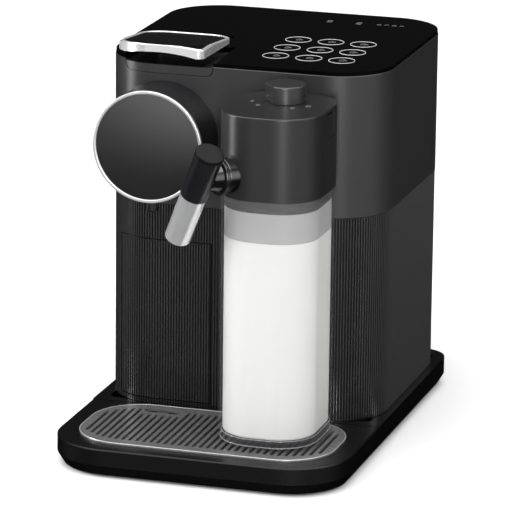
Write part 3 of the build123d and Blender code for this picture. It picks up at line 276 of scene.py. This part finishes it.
def solid_from_rings(name, rings, loop=False):
    """A closed mesh through stacked rings of points: flat ends, or joined back to its first ring."""
    build = bmesh.new()
    levels = [[build.verts.new(p) for p in ring] for ring in rings]
    for lower, upper in zip(levels, levels[1:]):
        join_rings(build, lower, upper)
    if loop:
        join_rings(build, levels[-1], levels[0])
    else:
        build.faces.new(levels[0][::-1])
        build.faces.new(levels[-1])
    return finished(build, name)


def round_line(name, strokes, thickness, roundness, material, body):
    """A piece of round lines. Each stroke is (points, closed)."""
    curve = bpy.data.curves.new(name, "CURVE")
    curve.dimensions = "3D"
    curve.bevel_depth = thickness / 2
    curve.bevel_resolution = roundness
    for points, closed in strokes:
        spline = curve.splines.new("POLY")
        spline.points.add(len(points) - 1)
        for point, spot in zip(spline.points, points):
            point.co = (*spot, 1.0)
        spline.use_cyclic_u = closed
    return piece(name, curve, material, body)


def line_art(name, strokes, z, thickness, material, body):
    """Fine printed marks at one height. Each stroke is (list of (x, y), closed)."""
    raised = [([(x, y, z) for x, y in stroke], closed) for stroke, closed in strokes]
    return round_line(name, raised, thickness, 1, material, body)


def bead(name, spots, thickness, material, body):
    """A closed round bead that runs through the given points."""
    return round_line(name, [(spots, True)], thickness, 3, material, body)


def height_over(names):
    """A function that gives the height of the CAD surface over a place, or None."""
    trees = []
    for name in names:
        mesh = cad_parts[name].data
        corners = [vertex.co.copy() for vertex in mesh.vertices]
        trees.append(BVHTree.FromPolygons(corners, [list(p.vertices) for p in mesh.polygons]))

    def height(x, y):
        hits = [tree.ray_cast(Vector((x, y, 1.0)), Vector((0, 0, -1)))[0] for tree in trees]
        heights = [hit.z for hit in hits if hit is not None]
        return max(heights) if heights else None

    return height


def circle(x, y, radius, count, start=0.0, sweep=2 * pi):
    """Points round a circle, or along an arc of it where sweep is less than a whole turn."""
    whole = sweep == 2 * pi
    steps = count if whole else count - 1
    return [(x + radius * cos(start + sweep * i / steps), y + radius * sin(start + sweep * i / steps))
            for i in range(count)]


# ---- Ribs round the lower shell and on the front of the capsule bin -----------------------------
shell_low, shell_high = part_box("lower_shell")
bin_low, bin_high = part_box("capsule_bin")
cover_low, cover_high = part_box("rear_cover")
SHELL_RADIUS = 37 * MM
RIB_PITCH = 1.95 * MM
RIB_WIDTH = 1.25 * MM
RIB_HEIGHT = 0.75 * MM
RIB_END_GAP = 0.4 * MM
HOOD_OVERLAP = 5.6 * MM
BIN_SIDE_GAP = 0.9 * MM
BIN_END_GAP = 0.5 * MM
BIN_RIB_MARGIN = 0.7 * MM
BIN_RIB_END = 0.3 * MM
FRONT_DEPTH = 25 * MM
REAR_DEPTH = 1 * MM
shell_bottom = shell_low.z + RIB_END_GAP
shell_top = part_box("hood")[0].z + HOOD_OVERLAP


def between(value, low, high, margin):
    """Whether a value lies between two limits that are moved apart by margin."""
    return low - margin < value < high + margin


shell_spots, bin_spots = [], []
for x, y, angle in walk_outline(shell_low, shell_high, (SHELL_RADIUS,) * 4, RIB_PITCH):
    if y < shell_low.y + FRONT_DEPTH and between(x, bin_low.x, bin_high.x, BIN_SIDE_GAP):
        shell_spots.append((x, y, angle, shell_bottom, bin_low.z - BIN_END_GAP))
        shell_spots.append((x, y, angle, bin_high.z + BIN_END_GAP, shell_top))
        if between(x, bin_low.x, bin_high.x, -BIN_RIB_MARGIN):
            bin_spots.append((x, y, angle, bin_low.z + BIN_RIB_END, bin_high.z - BIN_RIB_END))
    elif y > shell_high.y - REAR_DEPTH and between(x, cover_low.x, cover_high.x, REAR_DEPTH):
        shell_spots.append((x, y, angle, shell_bottom, cover_low.z - RIB_END_GAP))
        shell_spots.append((x, y, angle, cover_high.z + RIB_END_GAP, shell_top))
    else:
        shell_spots.append((x, y, angle, shell_bottom, shell_top))
for name, spots, body in (("shell_ribs", shell_spots, "machine"), ("bin_ribs", bin_spots, "bin")):
    piece(name, ribs_mesh(name, spots, RIB_WIDTH, RIB_HEIGHT), rib_grey, body)

# ---- Bright beads round the lever's rim and round its black inlay -------------------------------
LEVER_LEFT, LEVER_RIGHT = -89.2 * MM, -25.2 * MM
LEVER_FRONT, LEVER_REAR = -73.0 * MM, 1.0 * MM
HOOD_CORNER = Vector((-59.0, -36.5)) * MM
BODY_RADIUS = 38 * MM
LEVER_SETBACK = 0.8 * MM
LEVER_FRONT_RADIUS = 5 * MM
LEVER_REAR_RADIUS = 18 * MM
TRIM_WIDTH = 2.6 * MM
BEAD_STEP = 1.2 * MM
lever_height = height_over(("lever_trim", "capsule_lever"))


def lever_rim(inset):
    """The paddle's plan drawn in by inset and held inside the hood's rounded corner."""
    corner_front = LEVER_FRONT_RADIUS - inset / 2
    corner_rear = LEVER_REAR_RADIUS - inset
    low = Vector((LEVER_LEFT + inset, LEVER_FRONT + inset))
    high = Vector((LEVER_RIGHT - inset, LEVER_REAR - inset))
    radii = (corner_front, corner_front, corner_rear, corner_rear)
    reach = BODY_RADIUS - LEVER_SETBACK - inset
    result = []
    for x, y, _ in walk_outline(low, high, radii, BEAD_STEP):
        spot = Vector((x, y))
        away = spot - HOOD_CORNER
        if away.x < 0 and away.y < 0 and away.length > reach:
            spot = HOOD_CORNER + away.normalized() * reach
        result.append(spot)
    return result


for name, inset, sink, thickness in (("lever_edge_bead", 0.45 * MM, 0.15 * MM, 0.9 * MM),
                                     ("lever_inlay_bead", TRIM_WIDTH, 0.1 * MM, 0.8 * MM)):
    highest = cad_box[1].z - thickness / 2
    spots = [(spot.x, spot.y, lever_height(spot.x, spot.y)) for spot in lever_rim(inset)]
    bead(name, [(x, y, min(z - sink, highest)) for x, y, z in spots if z is not None], thickness,
         lever_chrome, "lever")

# ---- Painted highlight: a bright bead round the grid's rim --------------------------------------
grid_low, grid_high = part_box("drip_grid")
GRID_RADIUS = 35 * MM
GRID_HIGHLIGHT_WIDTH = 0.6 * MM
GRID_HIGHLIGHT_SINK = 0.15 * MM
grid_inset = Vector((GRID_HIGHLIGHT_WIDTH, GRID_HIGHLIGHT_WIDTH, 0)) / 2
grid_rim = walk_outline(grid_low + grid_inset, grid_high - grid_inset, (GRID_RADIUS - grid_inset.x,) * 4,
                        1.5 * MM)
bead("grid_highlight_bead", [(x, y, grid_high.z - GRID_HIGHLIGHT_SINK) for x, y, _ in grid_rim], GRID_HIGHLIGHT_WIDTH, grid_highlight_paint,
     "tray")

# ---- Milk in the jug, the haze above it and painted highlight lines on the clear foot -----------
jug_low, jug_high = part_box("jug_container")
JUG_RADIUS = 28.5 * MM
MILK_GAP = 2.66 * MM
MILK_TOP = 162 * MM
HAZE_TOP = 182 * MM
FILM = 0.3 * MM
milk_bottom = jug_low.z + 5.5 * MM
milk_inset = Vector((MILK_GAP, MILK_GAP, 0))
jug_outline = [Vector((x, y, 0)) for x, y, _ in walk_outline(
    jug_low + milk_inset, jug_high - milk_inset, (JUG_RADIUS - MILK_GAP,) * 4, 1.5 * MM)]
jug_middle = Vector(((jug_low.x + jug_high.x) / 2, (jug_low.y + jug_high.y) / 2, 0))


def jug_ring(inset, z):
    """The ring just inside the jug's wall, drawn in by inset towards its middle."""
    return [p + (jug_middle - p).normalized() * inset + Vector((0, 0, z)) for p in jug_outline]


milk_levels = ((1.6 * MM, milk_bottom), (0.5 * MM, milk_bottom + 0.4 * MM), (0, milk_bottom + 1.6 * MM),
               (0, MILK_TOP), (0.6 * MM, MILK_TOP - 0.4 * MM), (2.2 * MM, MILK_TOP - 0.7 * MM))
piece("milk", solid_from_rings("milk", [jug_ring(i, z) for i, z in milk_levels]), milk_white, "jug")
for name, low, high, material in (("milk_film", MILK_TOP + 0.1 * MM, HAZE_TOP, film_white),
                                  ("milk_film_top", HAZE_TOP, jug_high.z - 0.4 * MM, film_thin)):
    rings = [jug_ring(i, z) for i, z in ((0, low), (0, high), (FILM, high), (FILM, low))]
    piece(name, solid_from_rings(name, rings, loop=True), material, "jug")
# Painted highlight: two see-through grey lines of light, round the clear foot's bottom edge and where the
# milk meets its floor.
for name, inset, z in (("jug_foot_highlight", -1.5 * MM, jug_low.z + 1.0 * MM),
                       ("jug_floor_highlight", -0.9 * MM, milk_bottom)):
    bead(name, jug_ring(inset, z), 0.7 * MM, glass_highlight_paint, "jug")

# ---- Touch buttons and generic marks on the top panel -------------------------------------------
panel_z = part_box("top_panel")[1].z
RING_RADIUS = 8.8 * MM
MARK_LINE = 0.32 * MM
RING_LINE = 0.5 * MM
COLUMNS = (14.5 * MM, 37.6 * MM, 60.5 * MM)
ROWS = (16.4 * MM, -10.5 * MM, -37.4 * MM)
SIGN_RADIUS = 1.9 * MM
SIGN_ROW = 83.0 * MM


def cup_icon(x, y, half_width, steam):
    """A small cup with a handle, and the given number of steam strokes over it."""
    top, bottom = y + 1.5 * MM, y - 1.6 * MM
    foot = half_width * 0.8
    wall = [(x - half_width, top), (x - foot, bottom), (x + foot, bottom), (x + half_width, top)]
    strokes = [(wall, True),
               (circle(x + half_width + 0.5 * MM, y + 0.2 * MM, 0.9 * MM, 9, -pi / 2, pi), False)]
    for level in range(steam):
        left = x + (level - (steam - 1) / 2) * 1.1 * MM
        strokes.append(([(left, y + 2.4 * MM), (left + 0.3 * MM, y + 3.6 * MM)], False))
    return strokes


rings, icons, signs = [], [], []
for row, y in enumerate(ROWS):
    for column, x in enumerate(COLUMNS):
        rings.append((circle(x, y, RING_RADIUS, 48), True))
        icons += cup_icon(x, y, (1.5 + 0.25 * column) * MM, row + 1)
for x in (18.0 * MM, 39.0 * MM):
    underline = SIGN_ROW - 3.4 * MM
    signs.append((circle(x, SIGN_ROW, SIGN_RADIUS, 16), True))
    signs.append(([(x - SIGN_RADIUS, underline), (x + SIGN_RADIUS, underline)], False))
for index in range(4):
    x = (52.0 + 5.4 * index) * MM
    low, high = SIGN_ROW - 1.4 * MM, SIGN_ROW + 1.4 * MM
    signs.append(([(x, low), (x + 1.6 * MM, high), (x + 3.2 * MM, low)], index % 2 == 0))
line_art("button_rings", rings, panel_z, RING_LINE, mark_grey, "machine")
line_art("button_icons", icons, panel_z, MARK_LINE, mark_faint, "machine")
line_art("panel_signs", signs, panel_z, MARK_LINE, mark_faint, "machine")

# ---- Generic marks round the knob on the jug's lid ----------------------------------------------
KNOB_X, KNOB_Y = 41.0 * MM, -103.0 * MM
MARK_CIRCLE = 21.5 * MM
lid_marks = []
for angle, size in ((200, 1.6 * MM), (232, 2.0 * MM), (300, 2.3 * MM), (332, 2.6 * MM)):
    x = KNOB_X + MARK_CIRCLE * cos(radians(angle))
    y = KNOB_Y + MARK_CIRCLE * sin(radians(angle))
    underline = y - 1.8 * MM
    lid_marks.append((circle(x, y, size * 0.6, 12, 0.0, 1.5 * pi), False))
    lid_marks.append(([(x - size * 0.7, underline), (x + size * 0.7, underline)], False))
line_art("lid_marks", lid_marks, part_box("jug_lid")[1].z, 0.30 * MM, mark_faint, "jug_lid")

# ---- Studio: floor, lights and surroundings -----------------------------------------------------
FLOOR_HALF = 12.0
floor_mesh = bpy.data.meshes.new("studio_floor")
floor_mesh.from_pydata([(-FLOOR_HALF, -FLOOR_HALF, 0), (FLOOR_HALF, -FLOOR_HALF, 0),
                        (FLOOR_HALF, FLOOR_HALF, 0), (-FLOOR_HALF, FLOOR_HALF, 0)], [], [(0, 1, 2, 3)])
floor_mesh.materials.append(surface("studio_white", (0.86, 0.86, 0.86), 0.6, tone=0.003, bump=0.0,
                                    spread=0.02, specular=0.2))
floor = bpy.data.objects.new("studio_floor", floor_mesh)
scene.collection.objects.link(floor)
floor.visible_glossy = False


def softbox(name, place, target, width, height, power):
    """An area light that faces its target."""
    light = bpy.data.lights.new(name, "AREA")
    light.shape = "RECTANGLE"
    light.size = width
    light.size_y = height
    light.energy = power
    holder = bpy.data.objects.new(name, light)
    scene.collection.objects.link(holder)
    holder.location = place
    holder.rotation_euler = (Vector(target) - Vector(place)).to_track_quat("-Z", "Y").to_euler()


softbox("top_softbox", (0.0, -0.2, 3.4), (0.0, 0.0, 0.0), 6.0, 6.0, 330.0)
softbox("left_strip", (-1.6, -0.5, 0.5), (0.0, -0.10, 0.10), 0.35, 1.3, 26.0)
softbox("right_strip", (0.75, -2.3, 0.55), (0.0, -0.1, 0.15), 0.55, 1.2, 26.0)

world = bpy.data.worlds.new("studio_world")
world.use_nodes = True
scene.world = world
sky, sky_links = world.node_tree.nodes, world.node_tree.links


def ramp(source, low, high, at_low, at_high):
    """A world node that runs smoothly from one strength to another between two directions."""
    node = sky.new("ShaderNodeMapRange")
    node.interpolation_type = "SMOOTHSTEP"
    for socket, value in (("From Min", low), ("From Max", high), ("To Min", at_low), ("To Max", at_high)):
        node.inputs[socket].default_value = value
    sky_links.new(source, node.inputs["Value"])
    return node.outputs["Result"]


def product(first, second):
    """A world node that multiplies two strengths."""
    node = sky.new("ShaderNodeMath")
    node.operation = "MULTIPLY"
    sky_links.new(first, node.inputs[0])
    sky_links.new(second, node.inputs[1])
    return node.outputs["Value"]


# The camera sees plain white. The object sees a bright band in front and to the right, dark elsewhere.
BACKDROP = 0.97
direction = sky.new("ShaderNodeTexCoord")
sides = sky.new("ShaderNodeSeparateXYZ")
sky_links.new(direction.outputs["Generated"], sides.inputs["Vector"])
below = ramp(sides.outputs["Z"], -0.36, 0.02, 0.03, 1.0)
above = ramp(sides.outputs["Z"], 0.25, 0.60, 1.0, 0.12)
front = ramp(sides.outputs["Y"], -0.15, 0.50, 1.25, 0.03)
right_side = ramp(sides.outputs["X"], -0.70, -0.05, 0.15, 1.2)
glow = product(product(below, above), product(front, right_side))
strength = sky.new("ShaderNodeMix")
strength.inputs[3].default_value = BACKDROP
rays = sky.new("ShaderNodeLightPath")
sky_links.new(rays.outputs["Is Camera Ray"], strength.inputs[0])
sky_links.new(glow, strength.inputs[2])
sky["Background"].inputs["Color"].default_value = (1.0, 1.0, 1.0, 1.0)
sky_links.new(strength.outputs[0], sky["Background"].inputs["Strength"])
scene.view_settings.view_transform = "Standard"

# ---- Camera -------------------------------------------------------------------------------------
AZIMUTH, ELEVATION, ROLL = radians(16.88), radians(15.13), radians(0.64)
AIM = Vector((0, -33.5 * MM, 0))
SHIFT_RIGHT, SHIFT_UP, DISTANCE = 1.6067 * MM, 115.717 * MM, 2870.054 * MM
SENSOR_WIDTH, FOCAL_LENGTH = 36.0, 294.09551
back = Vector((sin(AZIMUTH) * cos(ELEVATION), -cos(AZIMUTH) * cos(ELEVATION), sin(ELEVATION)))
level_right = (-back).cross(Vector((0, 0, 1))).normalized()
level_up = level_right.cross(-back)
right = cos(ROLL) * level_right + sin(ROLL) * level_up
up = cos(ROLL) * level_up - sin(ROLL) * level_right
place = right * SHIFT_RIGHT + up * SHIFT_UP + back * DISTANCE + AIM
lens = bpy.data.cameras.new("photo_camera")
lens.sensor_width = SENSOR_WIDTH
lens.lens = FOCAL_LENGTH
lens.clip_end = 60.0
camera = bpy.data.objects.new("photo_camera", lens)
scene.collection.objects.link(camera)
camera.matrix_world = Matrix((
    (right.x, up.x, back.x, place.x),
    (right.y, up.y, back.y, place.y),
    (right.z, up.z, back.z, place.z),
    (0, 0, 0, 1),
))
scene.camera = camera
